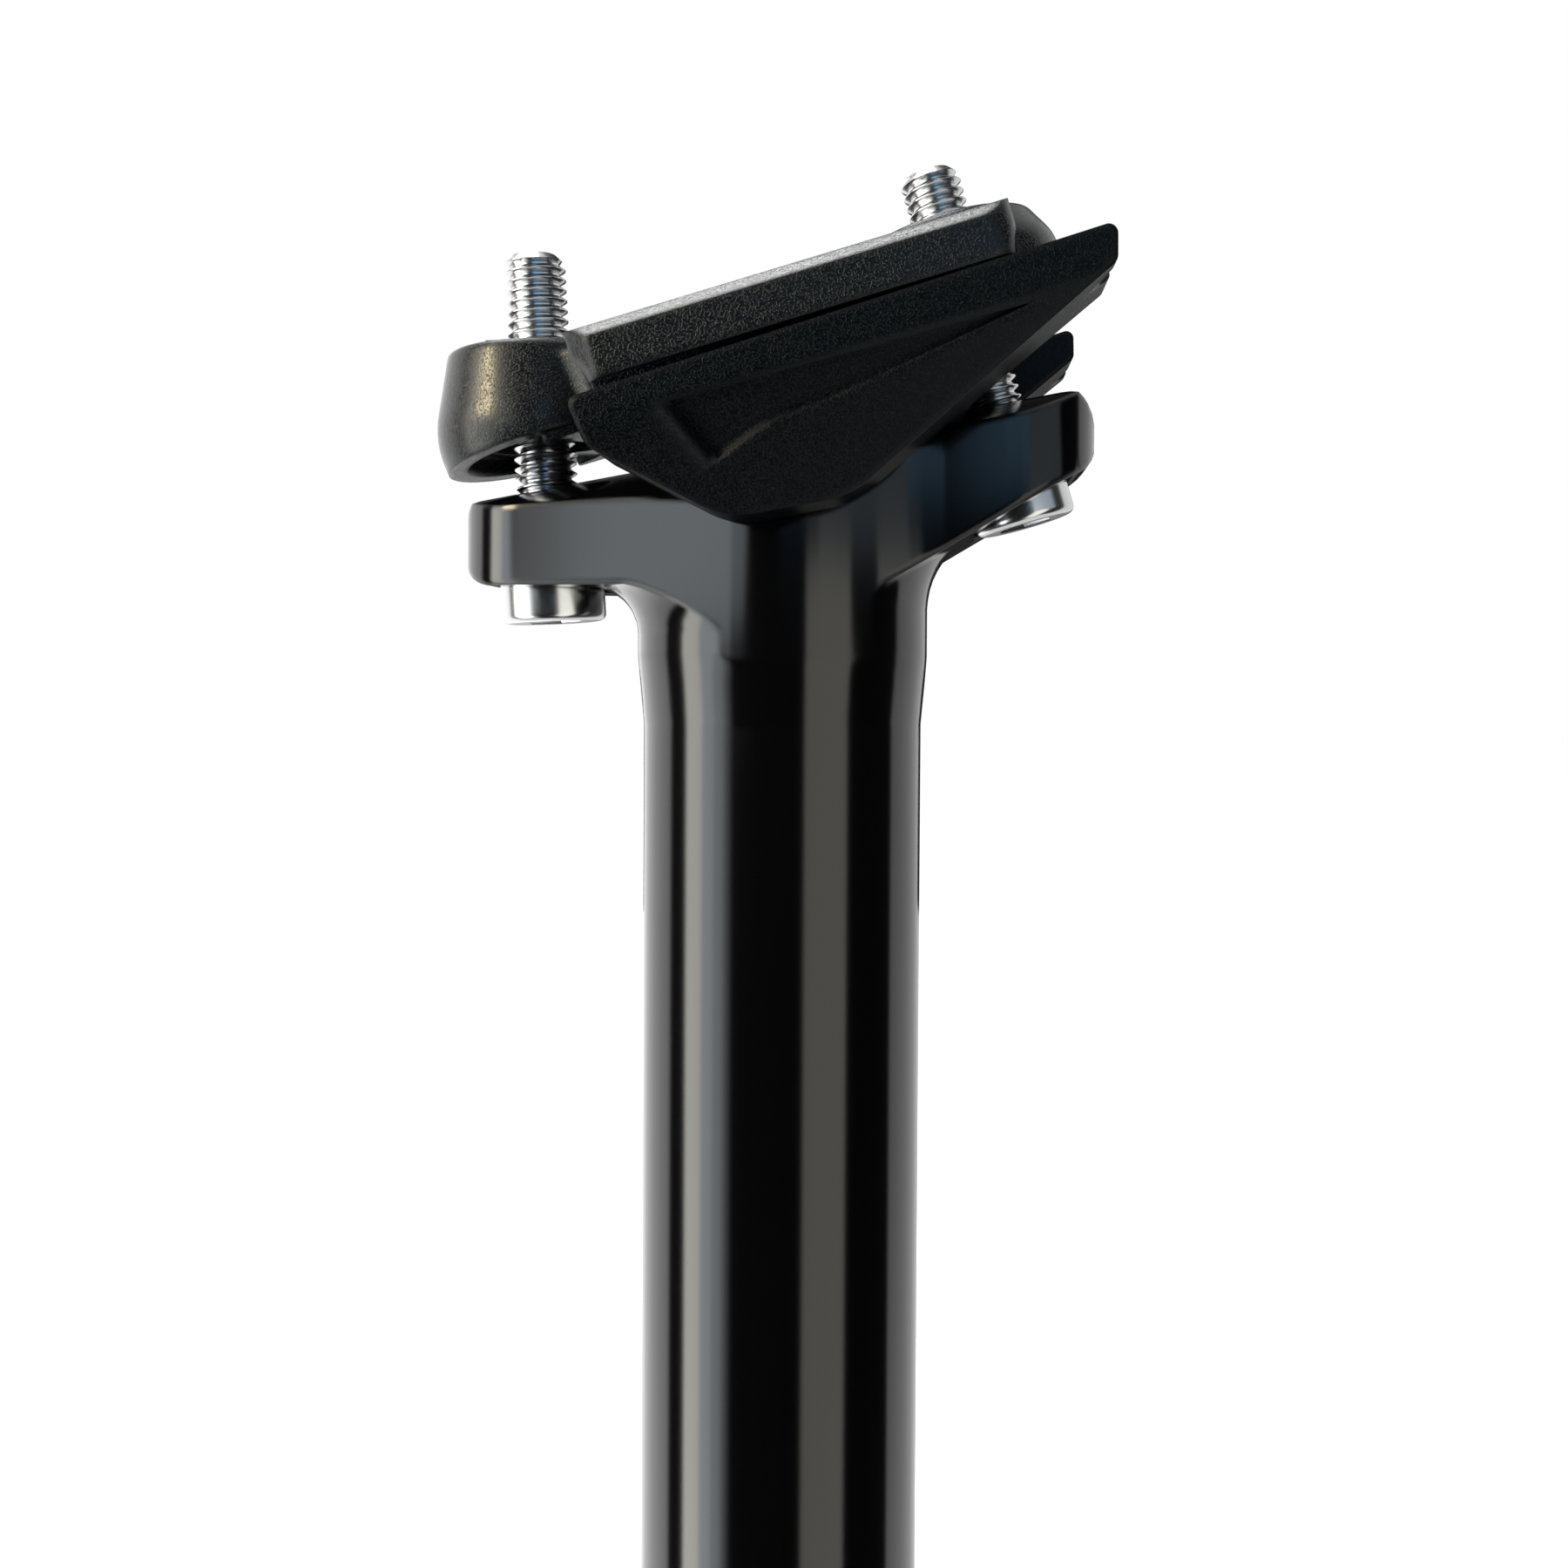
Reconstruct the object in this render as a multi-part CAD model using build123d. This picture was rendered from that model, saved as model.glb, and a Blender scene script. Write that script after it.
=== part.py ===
from build123d import *
import os
from math import asin, cos, radians, sin, tan

os.makedirs("parts", exist_ok=True)

# Two-bolt bicycle seatpost, in millimetres.
# Z runs up the tube, X points to the rear of the bicycle, and Y across it.
# The origin is the centre of the tube's lower end.

# Tube
post_diameter = 27.2
tube_wall = 2.3
post_length = 350.0          # lower end to the saddle rail line, on the tube's axis
bore_end_below_rail = 38.0   # top of the tube's bore, under the rail line
mouth_chamfer = 0.6

# Saddle rails that the clamp takes
rail_diameter = 7.0
rail_spacing = 44.0
rail_tilt = 17.5             # degrees that the rails rise towards the rear

# Head arms, with heights measured from the rail line
seat_radius = 14.0           # the trough that the cradle rocks in
arm_top_drop = 5.6           # arm's crown below the rail line, on the tube's axis
arm_slope = 11.2             # degrees that the crown rises towards the rear
arm_half_width = 9.0
crown_drop = 2.4             # crown line to the arm's side edge
front_reach = 30.9
rear_reach = 30.6
front_underside = 20.0
rear_underside = 7.4         # at the rear tip
rear_underside_slope = 31.0
neck_start = 33.0
neck_taper_end = 26.5
neck_bulge = 0.6
neck_edge_radius = 4.5
front_neck_radius = 4.5
rear_neck_radius = 8.0
neck_plan_step = 0.05        # the head's plan stays inside the neck's bulge
neck_sink = 0.15             # how far the neck's turned form runs into the arms
front_tip_rounding = (0.47, 0.54)  # bottom and top corner, as shares of the tip's height
rear_tip_rounding = (0.48, 0.51)
front_tip_radius = 8.6       # in plan
flare_radius = 12.0

# Bolts: the foot is the point that the bolt swivels about in its arm
front_foot_inset = 8.04      # from the arm's tip
front_foot_drop = 19.0
front_lean = 3.5             # degrees that the bolt leans forward
rear_foot_inset = 7.78
rear_foot_drop = 9.14
rear_lean = 16.2
bolt_length = 30.0
bolt_diameter = 6.0
thread_depth = 0.31          # half of the difference to the pitch diameter
bolt_head_diameter = 10.0
bolt_head_height = 6.0
hex_across_flats = 5.0
hex_depth = 3.2
head_edge = 0.7
point_chamfer = 0.8

# Half-round washers under the arms
washer_radius = 5.4
washer_length = 10.4
washer_rise = 1.8            # flat side above the swivel point
washer_clearance = 0.06
washer_hole_clearance = 0.25
pocket_end_gap = 0.25
bolt_hole = 7.0
arm_slot_travel = 1.4

# Barrel nuts in the ears
nut_radius = 4.75
nut_length = 13.0
nut_flat = 3.2               # flat top above the nut's axis
front_nut_height = 7.4       # nut's axis above the rail plane, across the clamp
rear_nut_height = 7.0
nut_clearance = 0.06
nut_end_gap = 0.2
nut_thread_clearance = 0.3
ear_slot_travel = 4.0

# Upper clamp, measured along the rails (u), across (v) and up from them (w)
clamp_half_width = 26.3
rail_gap = 0.25              # from the rail plane up to the upper wings
upper_front = -15.7
upper_rear = 23.4
upper_edge_height = 3.75
upper_bevel = 1.15
upper_crown = 8.3
upper_front_corner = 1.8
upper_rear_corner = 3.0
web_half_width = 8.2
web_radius = 4.0
web_radius_share = 0.85      # of the web's reach ahead of the wings, at most
hollow_half_width = 16.5
hollow_height = 4.6
hollow_end_wall = 4.0
ear_top_above_nut = 2.9
ear_top_radius = 8.6
ear_top_edge = 0.7
# Each ear: rim above the rail plane, widest radius and its depth below the nut,
# rim radius and depth, and the widest part's rounding
front_ear = (1.0, 10.35, 5.6, 8.7, 10.2, 9.0)
rear_ear = (1.5, 11.0, 1.2, 8.2, 7.4, 4.5)
ear_cavity_radius = 7.4
ear_cavity_below_nut = 6.2

# Lower cradle, in the same directions
cradle_front = -16.9
cradle_rear = 31.3
cradle_front_top = -0.6      # top edge at the front end
cradle_rear_top = 0.2        # top edge at the rear end
cradle_depth = 14.5
cradle_front_depth = 4.6
cradle_rear_depth = 2.9
cradle_front_rake = 0.3
cradle_rear_rake = 0.9
cradle_keel_front = -7.6
cradle_keel_rear = 3.2
cradle_keel_rise = 1.2       # of the keel's front end
cradle_corner_radii = (0.8, 1.6, 7.0, 9.0, 1.0, 0.8)
cradle_band = 3.3            # depth of the steep band beside the rail
cradle_band_draft = 0.45     # how far the band's foot lies inside its top
cradle_keel_half_width = 20.6
cradle_keel_margin = 0.5     # how far the section's outline runs past the keel
cradle_side_clearance = 0.35
cradle_running_clearance = 0.08
cradle_pocket_half_width = 15.5
cradle_floor = 4.2
valley_lift = 0.6
valley_depth = 1.7
# Outlines of the valley in a wing's side, along the rails and down the sloping face
valley_mouth = ((-12.5, -0.6), (24.5, 0.6), (3.4, 4.0), (-2.5, 4.3), (-9.6, 6.8))
valley_floor = ((2.0, 1.5), (18.0, 1.6), (5.4, 2.4), (3.4, 2.6), (2.2, 3.0))

post_radius = post_diameter / 2
rail_height = post_length
front_foot_x = front_foot_inset - front_reach
rear_foot_x = rear_reach - rear_foot_inset
cut_reach = 200.0            # longer than any cut needs to be


# Frames

def leaning_frame(x, z, lean):
    """Frame on a bolt's axis, with its local z leaning forward by lean degrees."""
    a = radians(lean)
    return Plane(origin=(x, 0, z), x_dir=(cos(a), 0, sin(a)), z_dir=(-sin(a), 0, cos(a)))


def bolt_frame(x, drop, lean):
    """Frame at a bolt's swivel point."""
    return leaning_frame(x, rail_height - drop, lean)


def nut_distance(x, drop, lean, height):
    """Distance along a bolt from its swivel point to its barrel nut."""
    tilt = radians(rail_tilt)
    lean_angle = radians(lean)
    foot_w = -x * sin(tilt) - drop * cos(tilt)
    return (height - foot_w) / cos(tilt - lean_angle)


def nut_point(frame, distance):
    """Centre of a barrel nut."""
    return frame.from_local_coords((0, 0, distance))


clamp_frame = leaning_frame(0, rail_height, rail_tilt)
front_frame = bolt_frame(front_foot_x, front_foot_drop, front_lean)
rear_frame = bolt_frame(rear_foot_x, rear_foot_drop, rear_lean)
front_nut_distance = nut_distance(front_foot_x, front_foot_drop, front_lean, front_nut_height)
rear_nut_distance = nut_distance(rear_foot_x, rear_foot_drop, rear_lean, rear_nut_height)


def place(frame, shape):
    return frame.location * shape


def cross_cylinder(radius, length, x=0.0, z=0.0):
    """Cylinder along Y, centred on x and z."""
    return Pos(x, 0, z) * Rot(90, 0, 0) * Cylinder(radius, length)


def slot_prism(length, width, low, high):
    """Upright slot with round ends along x, from low to high."""
    return extrude(Pos(0, 0, low) * SlotOverall(length, width), amount=high - low)


# Post

def arm_top(x):
    """Height of the arms' crown line."""
    return rail_height - arm_top_drop + x * tan(radians(arm_slope))


def arms_side():
    """Side view of the two arms, drawn in X and Z, with a flat and a rising underside."""
    rise = tan(radians(rear_underside_slope))
    bend = rear_reach - (front_underside - rear_underside) / rise
    points = [
        (-front_reach, rail_height - front_underside),
        (-front_reach, arm_top(-front_reach)),
        (rear_reach, arm_top(rear_reach)),
        (rear_reach, rail_height - rear_underside),
        (bend, rail_height - front_underside),
    ]
    front_height = arm_top(-front_reach) - rail_height + front_underside
    rear_height = arm_top(rear_reach) - rail_height + rear_underside
    radii = [share * front_height for share in front_tip_rounding]
    radii += [share * rear_height for share in reversed(rear_tip_rounding)]
    radii.append(0)
    return make_face(Plane.XZ * FilletPolyline(*points, radius=radii, close=True))


def neck_profile(underside, slope, radius):
    """Half section of the neck, flaring into an arm's underside of the given depth and slope."""
    bulge = post_radius + neck_bulge
    reach = bulge + 1.1 * radius
    rise = tan(radians(slope))
    root = rail_height - underside + neck_sink
    points = [
        (0, rail_height - neck_start),
        (post_radius, rail_height - neck_start),
        (bulge, rail_height - neck_taper_end),
        (bulge, root),
        (reach, root + (reach - bulge) * rise),
        (reach, root + reach),
        (0, root + reach),
    ]
    radii = [0, 0, neck_edge_radius, radius, 0, 0, 0]
    return make_face(Plane.XZ * FilletPolyline(*points, radius=radii, close=True))


def make_neck():
    """Turned neck, with its own flare in front and behind."""
    rise = tan(radians(rear_underside_slope))
    rear_root = rear_underside + (rear_reach - post_radius - neck_bulge) * rise
    neck = None
    flares = ((-1, front_underside, 0, front_neck_radius),
              (1, rear_root, rear_underside_slope, rear_neck_radius))
    for side, underside, slope, radius in flares:
        turned = revolve(neck_profile(underside, slope, radius), axis=Axis.Z)
        half = Pos(side * post_diameter, 0, rail_height) * Box(
            2 * post_diameter, 4 * post_diameter, 4 * post_diameter)
        neck = turned & half if neck is None else neck + (turned & half)
    return neck


def front_arm_plan(root_radius):
    """Plan of the front arm, tapering from the neck's circle to a round tip."""
    tip_x = front_tip_radius - front_reach
    lean = asin((root_radius - front_tip_radius) / -tip_x)
    corners = [(x - radius * sin(lean), side * radius * cos(lean))
               for side in (1, -1)
               for x, radius in ((0, root_radius), (tip_x, front_tip_radius))]
    outline = [corners[0], corners[1], corners[3], corners[2]]
    return make_face(Polyline(*outline, close=True)) + Pos(tip_x, 0) * Circle(front_tip_radius)


def head_plan():
    """Plan of the head: the neck's circle with a tapering front arm and a parallel rear one."""
    root_radius = post_radius + neck_bulge - neck_plan_step
    rear_arm = Pos(rear_reach / 2 - arm_half_width / 2, 0) * SlotOverall(
        rear_reach + arm_half_width, 2 * arm_half_width)
    plan = Sketch() + Circle(root_radius) + front_arm_plan(root_radius) + rear_arm
    corners = plan.vertices().filter_by(lambda v: abs(abs(v.Y) - arm_half_width) < 0.01
                                        and 0 < v.X < post_radius)
    return fillet(corners, flare_radius)


def crown_stock():
    """Everything under the crowned top of the arms."""
    radius = (arm_half_width ** 2 + crown_drop ** 2) / (2 * crown_drop)
    slope = radians(arm_slope)
    top = arm_top(0)
    face = Plane(origin=(0, 0, top), x_dir=(0, 1, 0), z_dir=(cos(slope), 0, sin(slope)))
    section = Pos(0, -radius) * Circle(radius) + Pos(0, -1.75 * radius) * Rectangle(2 * radius, 1.5 * radius)
    return extrude(face * section, amount=2 * front_reach, both=True)


def washer_pocket(frame):
    """Half-round seat in an arm's underside, open below for the bolt's head."""
    radius = washer_radius + washer_clearance
    length = washer_length + 2 * pocket_end_gap
    seat = cross_cylinder(radius, length)
    mouth = Pos(0, 0, -washer_radius) * Box(2 * radius, length, 2 * washer_radius)
    return place(frame, seat + mouth)


def arm_hole(frame):
    """Hole for the bolt through an arm, slotted for its swivel."""
    return place(frame, slot_prism(bolt_hole + arm_slot_travel, bolt_hole, 0, 3 * washer_radius))


def make_post():
    low = rail_height - neck_start
    arms = extrude(arms_side(), amount=post_diameter, both=True)
    plan = extrude(Pos(0, 0, low) * head_plan(), amount=neck_start + front_reach)
    head = (arms + make_neck()) & plan & crown_stock()
    tube = Cylinder(post_radius, low + 1, align=(Align.CENTER, Align.CENTER, Align.MIN))
    post = head + tube
    post -= cross_cylinder(seat_radius, 2 * post_diameter, 0, rail_height)
    bore = Cylinder(post_radius - tube_wall, rail_height - bore_end_below_rail,
                    align=(Align.CENTER, Align.CENTER, Align.MIN))
    post -= bore
    mouth = Cone(post_radius - tube_wall + mouth_chamfer, post_radius - tube_wall, mouth_chamfer,
                 align=(Align.CENTER, Align.CENTER, Align.MIN))
    post -= mouth
    for frame in (front_frame, rear_frame):
        post -= washer_pocket(frame)
        post -= arm_hole(frame)
    return post


# Bolts, washers and nuts

def make_bolt(length, frame):
    """Socket head cap screw, with its shank at the thread's pitch diameter."""
    under_head = washer_rise
    shank_radius = bolt_diameter / 2 - thread_depth
    head = Pos(0, 0, under_head - bolt_head_height / 2) * Cylinder(bolt_head_diameter / 2, bolt_head_height)
    head = fillet(head.edges().filter_by(GeomType.CIRCLE).sort_by(Axis.Z)[0], head_edge)
    shank = Pos(0, 0, under_head + length / 2) * Cylinder(shank_radius, length)
    shank = chamfer(shank.edges().filter_by(GeomType.CIRCLE).sort_by(Axis.Z)[-1], point_chamfer)
    socket = extrude(Pos(0, 0, under_head - bolt_head_height)
                     * RegularPolygon(hex_across_flats / 2, 6, major_radius=False), amount=hex_depth)
    return place(frame, head + shank - socket)


def make_washer(frame):
    """Half-round washer that lets the bolt swivel in the arm."""
    body = cross_cylinder(washer_radius, washer_length)
    above = Pos(0, 0, washer_rise + washer_radius) * Box(
        4 * washer_radius, 2 * washer_length, 2 * washer_radius)
    hole = Cylinder(bolt_diameter / 2 + washer_hole_clearance, 4 * washer_radius)
    return place(frame, (body & above) - hole)


def make_nut(distance, frame):
    """Barrel nut with a flat top."""
    body = cross_cylinder(nut_radius, nut_length)
    below = Pos(0, 0, nut_flat - 2 * nut_radius) * Box(4 * nut_radius, 2 * nut_length, 4 * nut_radius)
    hole = Cylinder(bolt_diameter / 2 - thread_depth + nut_thread_clearance, 4 * nut_radius)
    return place(frame, Pos(0, 0, distance) * ((body & below) - hole))


# Upper clamp

def clamp_section(points):
    """Face drawn across the clamp, in v and w."""
    return make_face(Plane.YZ * Polyline(*points, close=True))


def mirrored(points):
    """Closed outline from its right-hand half, listed from top to bottom."""
    return points + [(-v, w) for v, w in reversed(points)]


def upper_section():
    edge = upper_edge_height
    half = clamp_half_width
    crown = [(0, upper_crown)]
    right = [(half - upper_bevel, edge + upper_bevel), (half, edge), (half, rail_gap)]
    left = [(-v, w) for v, w in reversed(right)]
    lines = Polyline(*right) + Line((half, rail_gap), (-half, rail_gap)) + Polyline(*left)
    arch = ThreePointArc(left[-1], crown[0], right[0])
    return make_face(Plane.YZ * (lines + arch))


def upper_plan():
    """Plan of the wings, with a web from the front ear to the rear one."""
    length = upper_rear - upper_front
    middle = (upper_rear + upper_front) / 2
    front_nut = clamp_frame.to_local_coords(nut_point(front_frame, front_nut_distance)).X
    wings = Pos(middle, 0) * Rectangle(length, 2 * clamp_half_width)
    wings = chamfer(wings.vertices().group_by(Axis.X)[0], upper_front_corner)
    wings = fillet(wings.vertices().group_by(Axis.X)[-1], upper_rear_corner)
    web = Pos(front_nut / 2, 0) * Rectangle(abs(front_nut), 2 * web_half_width)
    web_reach = upper_front - front_nut
    plan = Sketch() + wings + web
    corners = plan.vertices().filter_by(lambda v: abs(abs(v.Y) - web_half_width) < 0.01
                                        and abs(v.X - upper_front) < 0.01)
    return fillet(corners, min(web_radius, web_radius_share * web_reach))


def make_ear(frame, distance, sizes):
    """Turned boss around a barrel nut, along its bolt, cut off level with the rails."""
    rim_height, wide_radius, wide_depth, rim_radius, rim_depth, rounding = sizes
    points = [
        (0, distance - rim_depth),
        (rim_radius, distance - rim_depth),
        (wide_radius, distance - wide_depth),
        (ear_top_radius, distance + ear_top_above_nut),
        (0, distance + ear_top_above_nut),
    ]
    radii = [0, 0, rounding, ear_top_edge, 0]
    profile = make_face(Plane.XZ * FilletPolyline(*points, radius=radii, close=True))
    return place(frame, revolve(profile, axis=Axis.Z)) & place(clamp_frame, above_rails(rim_height))


def nut_pocket(frame, distance):
    """Groove for a barrel nut, open above, with a slot below for the bolt."""
    radius = nut_radius + nut_clearance
    length = nut_length + 2 * nut_end_gap
    groove = cross_cylinder(radius, length, 0, distance)
    mouth = Pos(0, 0, distance + nut_radius) * Box(2 * radius, length, 2 * nut_radius)
    slot = slot_prism(bolt_hole + ear_slot_travel, bolt_hole, distance - 4 * nut_radius, distance)
    return place(frame, groove + mouth + slot)


def ear_cavity(frame, distance):
    """Hollow in the ear's underside, under the nut's floor."""
    depth = 4 * nut_radius
    return place(frame, Pos(0, 0, distance - ear_cavity_below_nut - depth / 2)
                 * Cylinder(ear_cavity_radius, depth))


def rail_grooves():
    grooves = [Pos(0, side * rail_spacing / 2, 0) * Rot(0, 90, 0) * Cylinder(rail_diameter / 2, cut_reach)
               for side in (-1, 1)]
    return grooves[0] + grooves[1]


def above_rails(gap):
    return Pos(0, 0, gap + cut_reach / 2) * Box(cut_reach, cut_reach, cut_reach)


def make_upper_clamp():
    body = extrude(upper_section(), amount=cut_reach, both=True) & extrude(upper_plan(), amount=cut_reach)
    hollow = Box(cut_reach, 2 * hollow_half_width, 2 * hollow_height)
    inside = Pos((upper_front + upper_rear) / 2, 0, 0) * Box(
        upper_rear - upper_front - 2 * hollow_end_wall, cut_reach, cut_reach)
    body -= hollow & inside
    clamp = place(clamp_frame, body)
    ears = ((front_frame, front_nut_distance, front_ear), (rear_frame, rear_nut_distance, rear_ear))
    for frame, distance, sizes in ears:
        clamp += make_ear(frame, distance, sizes)
    for frame, distance, sizes in ears:
        clamp -= nut_pocket(frame, distance)
        clamp -= ear_cavity(frame, distance)
    clamp -= place(clamp_frame, rail_grooves())
    return clamp


# Lower cradle

def cradle_side():
    """Side view of the cradle's wings, in u and w."""
    points = [
        (cradle_front, cradle_front_top),
        (cradle_front + cradle_front_rake, -cradle_front_depth),
        (cradle_keel_front, -cradle_depth + cradle_keel_rise),
        (cradle_keel_rear, -cradle_depth),
        (cradle_rear - cradle_rear_rake, -cradle_rear_depth),
        (cradle_rear, cradle_rear_top),
    ]
    return make_face(Plane.XZ * FilletPolyline(*points, radius=list(cradle_corner_radii), close=True))


def cradle_section():
    """Section across the wings: a steep band, then a face sloping in to the keel."""
    half = clamp_half_width
    keel_level = cradle_depth + cradle_keel_margin
    right = [(half, rail_diameter), (half, 0), (half - cradle_band_draft, -cradle_band),
             (cradle_keel_half_width, -keel_level)]
    return clamp_section(mirrored(right))


def wing_valley(side):
    """Hollow with sloping walls in a wing's outer face."""
    fall = cradle_depth + cradle_keel_margin - cradle_band
    band_foot = clamp_half_width - cradle_band_draft
    slope = Vector(0, side * (cradle_keel_half_width - band_foot), -fall)
    outward = Vector(1, 0, 0).cross(slope) * -side
    face = Plane(origin=(0, side * band_foot, -cradle_band), x_dir=(1, 0, 0), z_dir=outward)
    turn = -1 if face.to_local_coords(face.origin + slope).Y > 0 else 1
    rims = []
    for outline, level in ((valley_mouth, valley_lift), (valley_floor, -valley_depth)):
        points = [(u, -turn * down) for u, down in outline]
        rims.append(make_face(face * Pos(0, 0, level) * Polyline(*points, close=True)))
    return loft(rims, ruled=True)


def make_lower_cradle():
    wings = extrude(cradle_side(), amount=clamp_half_width, both=True)
    wings &= extrude(cradle_section(), amount=cut_reach, both=True)
    for side in (-1, 1):
        wings -= wing_valley(side)
    inner = 2 * (post_radius + neck_bulge + cradle_side_clearance)
    rocker_radius = seat_radius - cradle_running_clearance
    outside = Box(cut_reach, inner, cut_reach) - cross_cylinder(rocker_radius, 2 * inner)
    cradle = wings - outside
    pocket_floor = rocker_radius - cradle_floor
    pocket = cross_cylinder(pocket_floor, 2 * cradle_pocket_half_width)
    cradle -= pocket
    cradle -= rail_grooves()
    for side in (-1, 1):
        cradle -= Pos(0, side * rail_spacing / 2, rail_diameter / 2) * Box(
            cut_reach, rail_diameter, rail_diameter)
    return place(clamp_frame, cradle)


def write(name, shape):
    export_step(shape, f"parts/{name}.step")


write("post", make_post())
write("lower_cradle", make_lower_cradle())
write("upper_clamp", make_upper_clamp())
write("front_bolt", make_bolt(bolt_length, front_frame))
write("rear_bolt", make_bolt(bolt_length, rear_frame))
write("front_washer", make_washer(front_frame))
write("rear_washer", make_washer(rear_frame))
write("front_barrel_nut", make_nut(front_nut_distance, front_frame))
write("rear_barrel_nut", make_nut(rear_nut_distance, rear_frame))
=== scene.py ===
import math

import bpy
from mathutils import Matrix, Vector


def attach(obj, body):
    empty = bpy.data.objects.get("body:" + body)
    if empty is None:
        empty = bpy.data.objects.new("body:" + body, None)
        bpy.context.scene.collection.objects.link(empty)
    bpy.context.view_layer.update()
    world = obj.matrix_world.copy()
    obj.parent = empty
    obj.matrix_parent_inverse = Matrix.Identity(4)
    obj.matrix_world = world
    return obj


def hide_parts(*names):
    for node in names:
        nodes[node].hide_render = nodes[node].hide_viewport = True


MM = 0.001

# Photograph's camera, in millimetres and degrees
IMAGE_SIZE = 1800
FOCAL_PIXELS = 1865
CENTRE_PIXELS = (1100, 819)
CAMERA_PLACE = (13.98, -161.54, 320.71)
CAMERA_YAW = 1.19
CAMERA_PITCH = -0.93
CAMERA_ROLL = 0.42
SENSOR_WIDTH = 36
NEAREST_SEEN = 1.0

# Bolts, in millimetres and degrees
RAIL_HEIGHT = 350.0
FRONT_FOOT = (-22.86, RAIL_HEIGHT - 19.0)
FRONT_LEAN = 3.5
REAR_FOOT = (22.82, RAIL_HEIGHT - 9.14)
REAR_LEAN = 16.2
UNDER_HEAD = 1.8
BOLT_LENGTH = 30.0
HEAD_RADIUS = 5.0
HEAD_HEIGHT = 6.0
HEAD_EDGE = 0.7
HEAD_EDGE_STEPS = 6
HEAD_TOP_CHAMFER = 0.2
SOCKET_FLATS = 5.0
SOCKET_DEPTH = 3.2
SOCKET_MOUTH_GROWTH = 0.3
SOCKET_MOUTH_DEPTH = 0.2
THREAD_PITCH = 1.0
CREST_RADIUS = 2.98
CREST_ROUNDING = 0.04
ROOT_RADIUS = 2.42
POINT_CHAMFER = 0.8
TURN_STEPS = 48
SHARP_FROM = 38

# One turn of the thread, as radius and rise
THREAD_PROFILE = ((ROOT_RADIUS, 0.0), (ROOT_RADIUS, 0.14), (CREST_RADIUS - CREST_ROUNDING, 0.47),
                  (CREST_RADIUS, 0.52), (CREST_RADIUS, 0.60), (CREST_RADIUS - CREST_ROUNDING, 0.65))

# Materials, lengths in millimetres
EDGE_RADIUS = 0.9
EDGE_SAMPLES = 6
GRAIN_SCALE = 4800
GRAIN_DETAIL = 2
GRAIN_DEPTH = 0.019
CREASE_START = 0.4
CREASE_END = 0.52
STEEL_BLUE_SHARE = 1.01

# Stage, in metres
FLOOR_REACH = 6.0
FLOOR_COLOR = (0.79, 0.81, 0.88, 1)
FLOOR_GLOW = 0.8
GLOW_START = 0.05
GLOW_END = 0.34
WORLD_FILL = 0.3
DARK_FLOOR_LEVEL = -1.8
DARK_FLOOR_CORNERS = ((-1.7, -1.8), (0.9, -1.8), (0.4, -0.05), (-0.4, -0.05))

# Tints of the lamps
WHITE = (1.0, 1.0, 1.0)
BEIGE = (1.0, 0.98, 0.88)
BLUE = (0.86, 0.95, 1.0)
DEEP_BLUE = (0.36, 0.67, 1.0)
PALE_BLUE = (0.75, 0.88, 1.0)
GOLD = (1.0, 0.83, 0.5)

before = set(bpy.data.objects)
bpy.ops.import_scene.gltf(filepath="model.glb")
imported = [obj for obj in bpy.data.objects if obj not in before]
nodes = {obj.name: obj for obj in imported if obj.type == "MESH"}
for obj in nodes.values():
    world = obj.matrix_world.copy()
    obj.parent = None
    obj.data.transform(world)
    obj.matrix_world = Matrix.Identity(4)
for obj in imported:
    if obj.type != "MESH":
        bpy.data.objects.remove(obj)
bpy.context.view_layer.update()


# Meshes

def bolt_matrix(foot, lean):
    """From a bolt's own frame, in millimetres along Z, to its place in the part, in metres."""
    angle = math.radians(lean)
    turn = Matrix.Rotation(-angle, 4, "Y")
    return Matrix.Translation(Vector((foot[0], 0, foot[1])) * MM) @ turn @ Matrix.Scale(MM, 4)


def ring(radius, height):
    step = 2 * math.pi / TURN_STEPS
    return [(radius * math.cos(i * step), radius * math.sin(i * step), height) for i in range(TURN_STEPS)]


def hexagon_ring(flats, height):
    """Ring with as many points as the round ones, on a hexagon."""
    points = []
    for i in range(TURN_STEPS):
        angle = 2 * math.pi * i / TURN_STEPS
        side = (angle + math.pi / 6) % (math.pi / 3) - math.pi / 6
        radius = flats / 2 / math.cos(side)
        points.append((radius * math.cos(angle), radius * math.sin(angle), height))
    return points


def thread_point(turn_index, profile):
    """Point of the thread's helix, limited to the shank's length and to the chamfer at its end."""
    radius, rise = profile
    angle = 2 * math.pi * turn_index / TURN_STEPS
    height = UNDER_HEAD + THREAD_PITCH * turn_index / TURN_STEPS + rise - THREAD_PITCH
    top = UNDER_HEAD + BOLT_LENGTH
    height = min(max(height, UNDER_HEAD), top)
    limit = CREST_RADIUS - POINT_CHAMFER + (top - height)
    radius = min(radius, limit)
    return (radius * math.cos(angle), radius * math.sin(angle), height)


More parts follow.
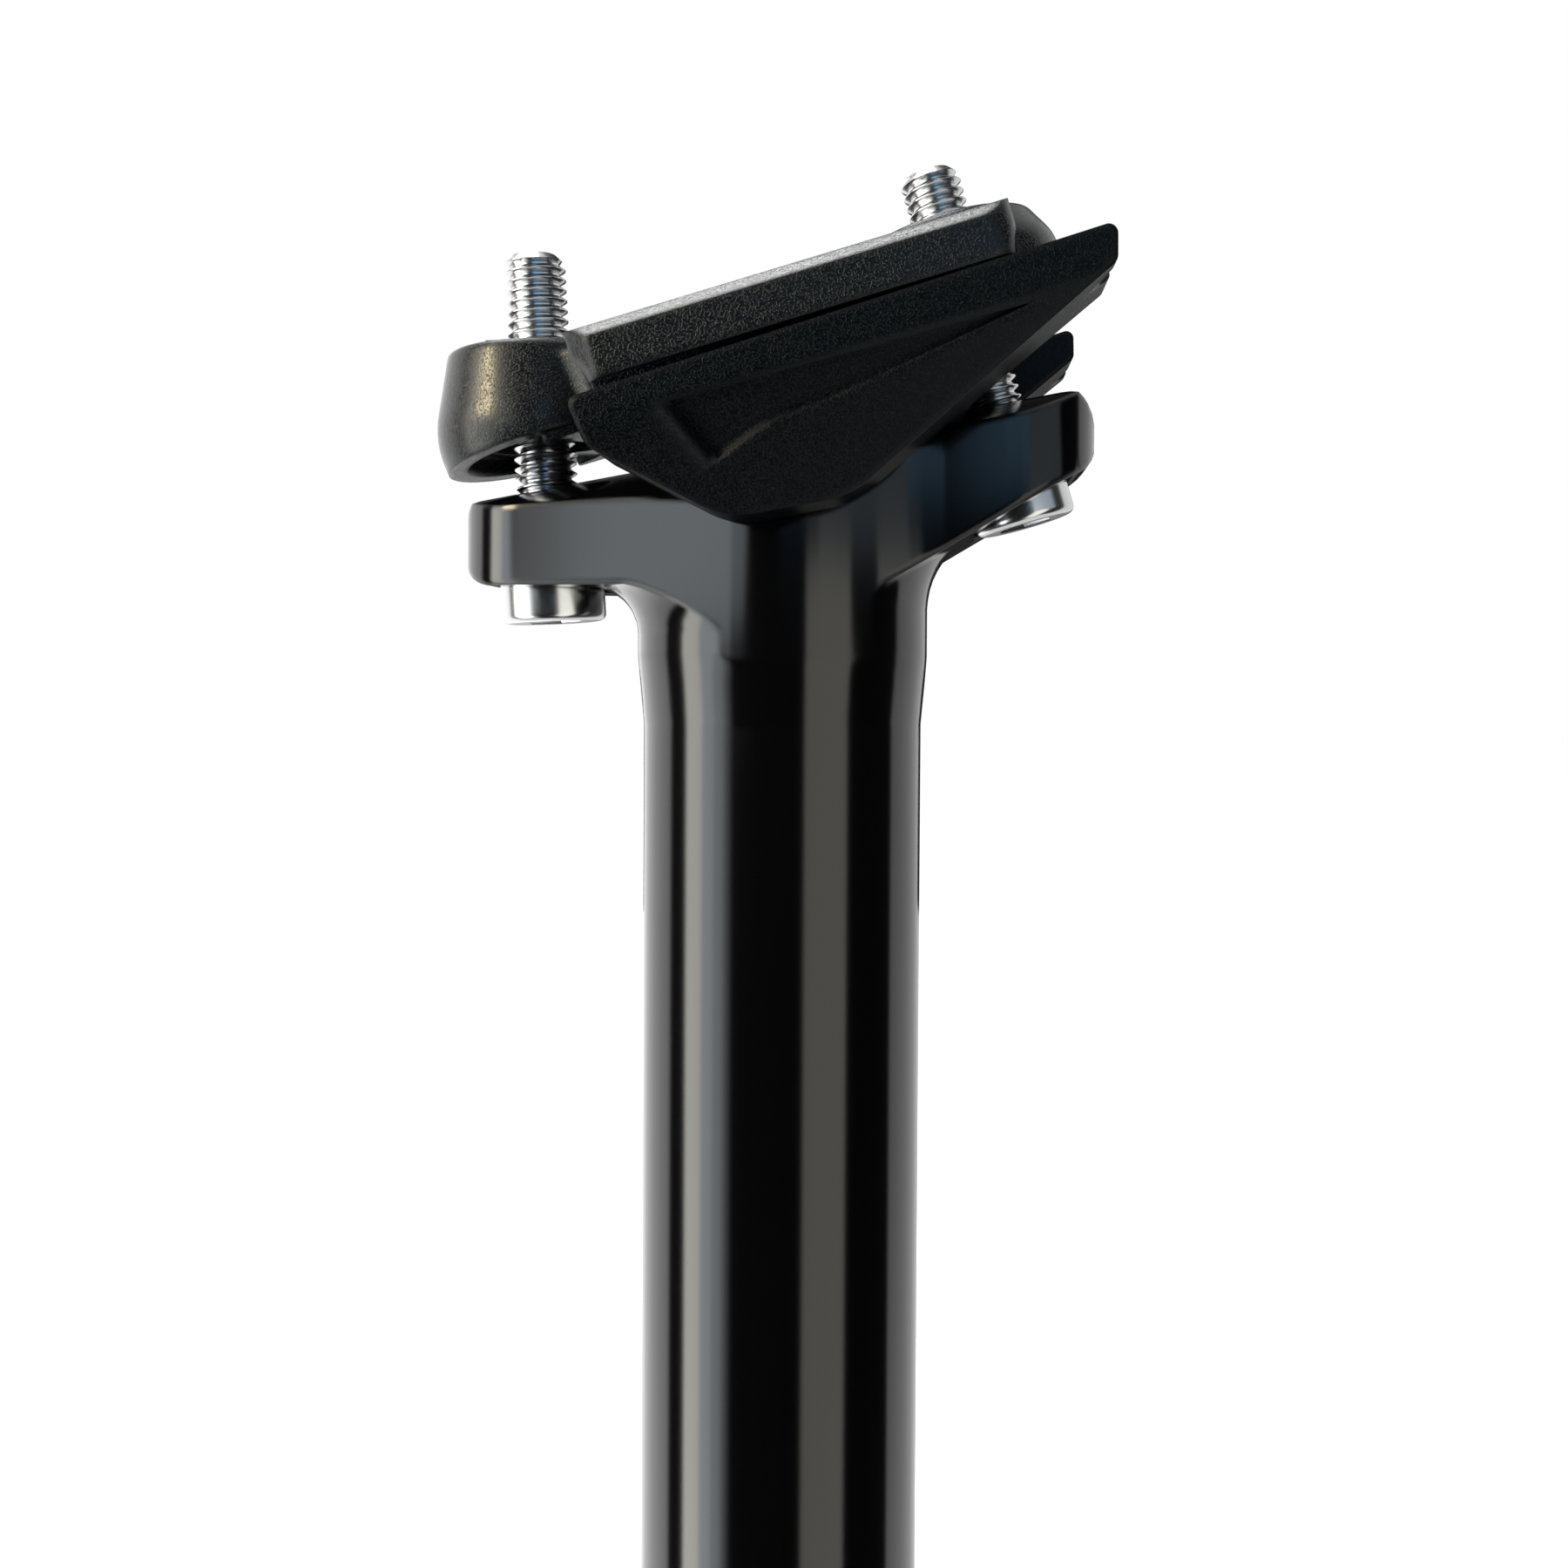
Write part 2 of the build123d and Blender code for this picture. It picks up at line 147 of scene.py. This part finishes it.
def bolt_mesh(name):
    """Socket head screw with a real helical thread, its head downwards."""
    turns = int(BOLT_LENGTH / THREAD_PITCH) + 1
    steps = turns * TURN_STEPS
    verts = []
    faces = []
    width = len(THREAD_PROFILE)
    for i in range(steps + TURN_STEPS + 1):
        for point in THREAD_PROFILE:
            verts.append(thread_point(i, point))
    for i in range(steps):
        for k in range(width):
            here = i * width + k
            above = here + 1 if k < width - 1 else (i + TURN_STEPS) * width
            faces.append((here, here + width, above + width, above))
    start = len(verts)
    low = UNDER_HEAD - HEAD_HEIGHT
    rows = [ring(ROOT_RADIUS, UNDER_HEAD),
            ring(HEAD_RADIUS - HEAD_TOP_CHAMFER, UNDER_HEAD),
            ring(HEAD_RADIUS, UNDER_HEAD - HEAD_TOP_CHAMFER)]
    for i in range(HEAD_EDGE_STEPS + 1):
        angle = math.pi / 2 * i / HEAD_EDGE_STEPS
        radius = HEAD_RADIUS - HEAD_EDGE * (1 - math.cos(angle))
        rows.append(ring(radius, low + HEAD_EDGE * (1 - math.sin(angle))))
    rows.append(hexagon_ring(SOCKET_FLATS + SOCKET_MOUTH_GROWTH, low))
    rows.append(hexagon_ring(SOCKET_FLATS, low + SOCKET_MOUTH_DEPTH))
    rows.append(hexagon_ring(SOCKET_FLATS, low + SOCKET_DEPTH))
    for row in rows:
        verts.extend(row)
    for r in range(len(rows) - 1):
        for i in range(TURN_STEPS):
            j = (i + 1) % TURN_STEPS
            a = start + r * TURN_STEPS
            faces.append((a + i, a + j, a + TURN_STEPS + j, a + TURN_STEPS + i))
    last = start + (len(rows) - 1) * TURN_STEPS
    faces.append(tuple(last + i for i in range(TURN_STEPS)))
    end = len(verts)
    verts.extend(ring(CREST_RADIUS - POINT_CHAMFER, UNDER_HEAD + BOLT_LENGTH))
    faces.append(tuple(end + i for i in range(TURN_STEPS)))
    mesh = bpy.data.meshes.new(name)
    mesh.from_pydata(verts, [], faces)
    mesh.validate()
    return mesh


def add_bolt(name, foot, lean, body, node):
    """Stand a screw in the place of a plain bolt, on the same body."""
    mesh = bolt_mesh(name)
    mesh.transform(bolt_matrix(foot, lean))
    for polygon in mesh.polygons:
        polygon.use_smooth = True
    mesh.set_sharp_from_angle(angle=math.radians(SHARP_FROM))
    piece = bpy.data.objects.new(name, mesh)
    bpy.context.scene.collection.objects.link(piece)
    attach(piece, body)
    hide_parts(node)
    return piece


# Materials

def new_material(name):
    material = bpy.data.materials.new(name)
    material.use_nodes = True
    tree = material.node_tree
    return material, tree, tree.nodes["Principled BSDF"]


def add_edges(tree, target):
    """Rounded look for the shape's edges, through the normal of a shader or a bump."""
    bevel = tree.nodes.new("ShaderNodeBevel")
    bevel.samples = EDGE_SAMPLES
    bevel.inputs["Radius"].default_value = EDGE_RADIUS * MM
    tree.links.new(bevel.outputs["Normal"], target.inputs["Normal"])


def gloss_black():
    """Smooth gloss black paint."""
    material, tree, shader = new_material("gloss_black")
    shader.inputs["Base Color"].default_value = (0.001, 0.001, 0.0013, 1)
    shader.inputs["Roughness"].default_value = 0.12
    shader.inputs["IOR"].default_value = 1.5
    add_edges(tree, shader)
    return material


def cast_black(name, ior):
    """Satin black with a fine cast grain: flat islands between narrow creases."""
    material, tree, shader = new_material(name)
    shader.inputs["Base Color"].default_value = (0.001, 0.0022, 0.0035, 1)
    shader.inputs["Roughness"].default_value = 0.27
    shader.inputs["IOR"].default_value = ior
    place = tree.nodes.new("ShaderNodeTexCoord")
    grain = tree.nodes.new("ShaderNodeTexNoise")
    grain.inputs["Scale"].default_value = GRAIN_SCALE
    grain.inputs["Detail"].default_value = GRAIN_DETAIL
    islands = tree.nodes.new("ShaderNodeMapRange")
    islands.interpolation_type = "SMOOTHSTEP"
    islands.inputs["From Min"].default_value = CREASE_START
    islands.inputs["From Max"].default_value = CREASE_END
    bump = tree.nodes.new("ShaderNodeBump")
    bump.inputs["Strength"].default_value = 1.0
    bump.inputs["Distance"].default_value = GRAIN_DEPTH * MM
    tree.links.new(place.outputs["Object"], grain.inputs["Vector"])
    tree.links.new(grain.outputs["Fac"], islands.inputs["Value"])
    tree.links.new(islands.outputs[0], bump.inputs["Height"])
    tree.links.new(bump.outputs["Normal"], shader.inputs["Normal"])
    add_edges(tree, bump)
    return material


def plated(name, tone, roughness):
    """Bare plated metal of one tone."""
    material, tree, shader = new_material(name)
    shader.inputs["Base Color"].default_value = (tone, tone, tone * STEEL_BLUE_SHARE, 1)
    shader.inputs["Metallic"].default_value = 1.0
    shader.inputs["Roughness"].default_value = roughness
    return material


def set_material(piece, material):
    piece.data.materials.clear()
    piece.data.materials.append(material)


# Stage

def quad(name, corners):
    """Object with one four-sided face, not yet in the scene."""
    mesh = bpy.data.meshes.new(name)
    mesh.from_pydata(corners, [], [(0, 1, 2, 3)])
    return bpy.data.objects.new(name, mesh)


def add_camera():
    """Camera at the photograph's viewing angle."""
    yaw = math.radians(CAMERA_YAW)
    pitch = math.radians(CAMERA_PITCH)
    roll = math.radians(CAMERA_ROLL)
    ahead = Vector((math.sin(yaw) * math.cos(pitch), math.cos(yaw) * math.cos(pitch), math.sin(pitch)))
    right = Vector((math.cos(yaw), -math.sin(yaw), 0))
    up = right.cross(ahead)
    rolled_right = math.cos(roll) * right + math.sin(roll) * up
    rolled_up = math.cos(roll) * up - math.sin(roll) * right
    data = bpy.data.cameras.new("camera")
    data.sensor_width = SENSOR_WIDTH
    data.lens = FOCAL_PIXELS / IMAGE_SIZE * SENSOR_WIDTH
    data.shift_x = 0.5 - CENTRE_PIXELS[0] / IMAGE_SIZE
    data.shift_y = CENTRE_PIXELS[1] / IMAGE_SIZE - 0.5
    data.clip_start = NEAREST_SEEN * MM
    camera = bpy.data.objects.new("camera", data)
    turn = Matrix((rolled_right, rolled_up, -ahead)).transposed().to_4x4()
    camera.matrix_world = Matrix.Translation(Vector(CAMERA_PLACE) * MM) @ turn
    bpy.context.scene.collection.objects.link(camera)
    bpy.context.scene.camera = camera


def place_card(target, azimuth, distance, height):
    """Stand something upright at an angle round the post, facing it. Azimuth 0 is the camera's side."""
    angle = math.radians(azimuth)
    spot = Vector((math.sin(angle) * distance, -math.cos(angle) * distance, height))
    target.location = spot
    target.rotation_euler = (math.pi / 2, 0, angle)


def add_lamp(name, start, end, color, radiance, distance=1.6, low=-1.6, high=1.2):
    """Tall soft light between two angles round the post. A radiance of 1 is the world's white."""
    width = 2 * distance * math.tan(math.radians(end - start) / 2)
    height = high - low
    data = bpy.data.lights.new(name, "AREA")
    data.shape = "RECTANGLE"
    data.size = width
    data.size_y = height
    data.color = color
    data.energy = radiance * math.pi * width * height
    lamp = bpy.data.objects.new(name, data)
    place_card(lamp, (start + end) / 2, distance, (low + high) / 2)
    lamp.visible_camera = False
    bpy.context.scene.collection.objects.link(lamp)


def add_top_lamp(name, place, size, radiance):
    """Square soft light above, aimed at the head."""
    data = bpy.data.lights.new(name, "AREA")
    data.size = size
    data.energy = radiance * math.pi * size ** 2
    lamp = bpy.data.objects.new(name, data)
    lamp.location = place
    aim = Vector((0, 0, RAIL_HEIGHT * MM)) - lamp.location
    lamp.rotation_euler = aim.to_track_quat("-Z", "Y").to_euler()
    lamp.visible_camera = False
    bpy.context.scene.collection.objects.link(lamp)


def add_card(card):
    """Put an object in the scene as a black card that only reflections see."""
    material, tree, shader = new_material(card.name)
    shader.inputs["Base Color"].default_value = (0.002, 0.002, 0.003, 1)
    shader.inputs["Roughness"].default_value = 1.0
    card.data.materials.append(material)
    card.visible_camera = False
    card.visible_shadow = False
    bpy.context.scene.collection.objects.link(card)


def add_dark_card(name, start, end, distance=1.8, low=-1.8, high=2.4):
    """Black card between two angles round the post."""
    width = 2 * distance * math.tan(math.radians(end - start) / 2)
    corners = [(-width / 2, low, 0), (width / 2, low, 0), (width / 2, high, 0), (-width / 2, high, 0)]
    card = quad(name, corners)
    place_card(card, (start + end) / 2, distance, 0)
    add_card(card)


def add_dark_floor():
    """Black card far below, on the camera's side of the post."""
    add_card(quad("dark_floor", [(x, y, DARK_FLOOR_LEVEL) for x, y in DARK_FLOOR_CORNERS]))


def add_world():
    """White to the camera and in reflections, a softer fill otherwise."""
    world = bpy.data.worlds.new("world")
    bpy.context.scene.world = world
    world.use_nodes = True
    tree = world.node_tree
    shader = tree.nodes["Background"]
    shader.inputs["Color"].default_value = (1, 1, 1, 1)
    path = tree.nodes.new("ShaderNodeLightPath")
    either = tree.nodes.new("ShaderNodeMath")
    either.operation = "MAXIMUM"
    tree.links.new(path.outputs["Is Camera Ray"], either.inputs[0])
    tree.links.new(path.outputs["Is Glossy Ray"], either.inputs[1])
    strength = tree.nodes.new("ShaderNodeMapRange")
    strength.inputs["To Min"].default_value = WORLD_FILL
    strength.inputs["To Max"].default_value = 1.0
    tree.links.new(either.outputs[0], strength.inputs["Value"])
    tree.links.new(strength.outputs[0], shader.inputs["Strength"])


def add_floor():
    """Pale floor, brighter to the camera away from the post so that it runs into the white behind it."""
    reach = FLOOR_REACH
    floor = quad("floor", [(-reach, -reach, 0), (reach, -reach, 0), (reach, reach, 0), (-reach, reach, 0)])
    material, tree, shader = new_material("floor")
    shader.inputs["Base Color"].default_value = FLOOR_COLOR
    shader.inputs["Roughness"].default_value = 0.9
    shader.inputs["Emission Color"].default_value = (1, 1, 1, 1)
    place = tree.nodes.new("ShaderNodeTexCoord")
    distance = tree.nodes.new("ShaderNodeVectorMath")
    distance.operation = "LENGTH"
    tree.links.new(place.outputs["Object"], distance.inputs[0])
    spread = tree.nodes.new("ShaderNodeMapRange")
    spread.interpolation_type = "SMOOTHSTEP"
    spread.inputs["From Min"].default_value = GLOW_START
    spread.inputs["From Max"].default_value = GLOW_END
    spread.inputs["To Min"].default_value = 0.0
    spread.inputs["To Max"].default_value = FLOOR_GLOW
    tree.links.new(distance.outputs["Value"], spread.inputs["Value"])
    path = tree.nodes.new("ShaderNodeLightPath")
    glow = tree.nodes.new("ShaderNodeMath")
    glow.operation = "MULTIPLY"
    tree.links.new(path.outputs["Is Camera Ray"], glow.inputs[0])
    tree.links.new(spread.outputs[0], glow.inputs[1])
    tree.links.new(glow.outputs[0], shader.inputs["Emission Strength"])
    floor.data.materials.append(material)
    floor.visible_glossy = False
    bpy.context.scene.collection.objects.link(floor)


clamp_black = cast_black("clamp_black", 1.38)
cradle_black = cast_black("cradle_black", 1.23)
gloss = gloss_black()
steel = plated("plated_steel", 0.55, 0.22)
satin = plated("washer_steel", 0.5, 0.3)
nut_steel = plated("nut_steel", 0.7, 0.22)
for node, material in (("post", gloss), ("lower_cradle", cradle_black), ("upper_clamp", clamp_black),
                       ("front_bolt", steel), ("rear_bolt", steel),
                       ("front_washer", satin), ("rear_washer", satin),
                       ("front_barrel_nut", nut_steel), ("rear_barrel_nut", nut_steel)):
    set_material(nodes[node], material)

for name, foot, lean, body, node in (
        ("front_screw", FRONT_FOOT, FRONT_LEAN, "front_bolt_set", "front_bolt"),
        ("rear_screw", REAR_FOOT, REAR_LEAN, "rear_bolt_set", "rear_bolt")):
    set_material(add_bolt(name, foot, lean, body, node), steel)

add_camera()
add_world()
add_floor()
add_dark_card("dark_front", -42, 23)
add_dark_card("dark_right", 23, 105)
add_dark_card("dark_left", -98, -82)
add_dark_card("dark_back", 160, 200, distance=1.4, low=0.1, high=3.2)
add_dark_floor()
add_lamp("white_window", -168, -100, WHITE, 0.7)
add_lamp("beige_window", -80, -64, BEIGE, 5.9)
add_lamp("blue_window", -64, -53, BLUE, 3.6)
add_lamp("blue_edge", -53, -45, BLUE, 2.2, high=0.41)
add_lamp("blue_dim", -45, -38, BLUE, 1.0, high=0.41)
add_lamp("right_glow", 22, 58, BEIGE, 1.7, high=0.46)
add_lamp("right_high", 32, 74, PALE_BLUE, 0.6, low=0.46)
add_lamp("blue_high_left", -54, -42, BLUE, 0.3, distance=1.5, low=0.41)
add_lamp("blue_high", -42, -34, BLUE, 3.4, distance=1.5, low=0.36)
add_lamp("blue_high_edge", -34, -24, BLUE, 2.2, distance=1.5, low=0.38)
add_lamp("blue_far", 2, 32, DEEP_BLUE, 1.0, distance=1.5, low=0.52, high=1.2)
add_lamp("gold_high", -64, -50, GOLD, 54.0, distance=1.4, low=0.7, high=1.15)
add_top_lamp("overhead", (-0.5, 0.42, 1.75), 0.66, 13.0)

bpy.context.scene.view_settings.view_transform = "Standard"
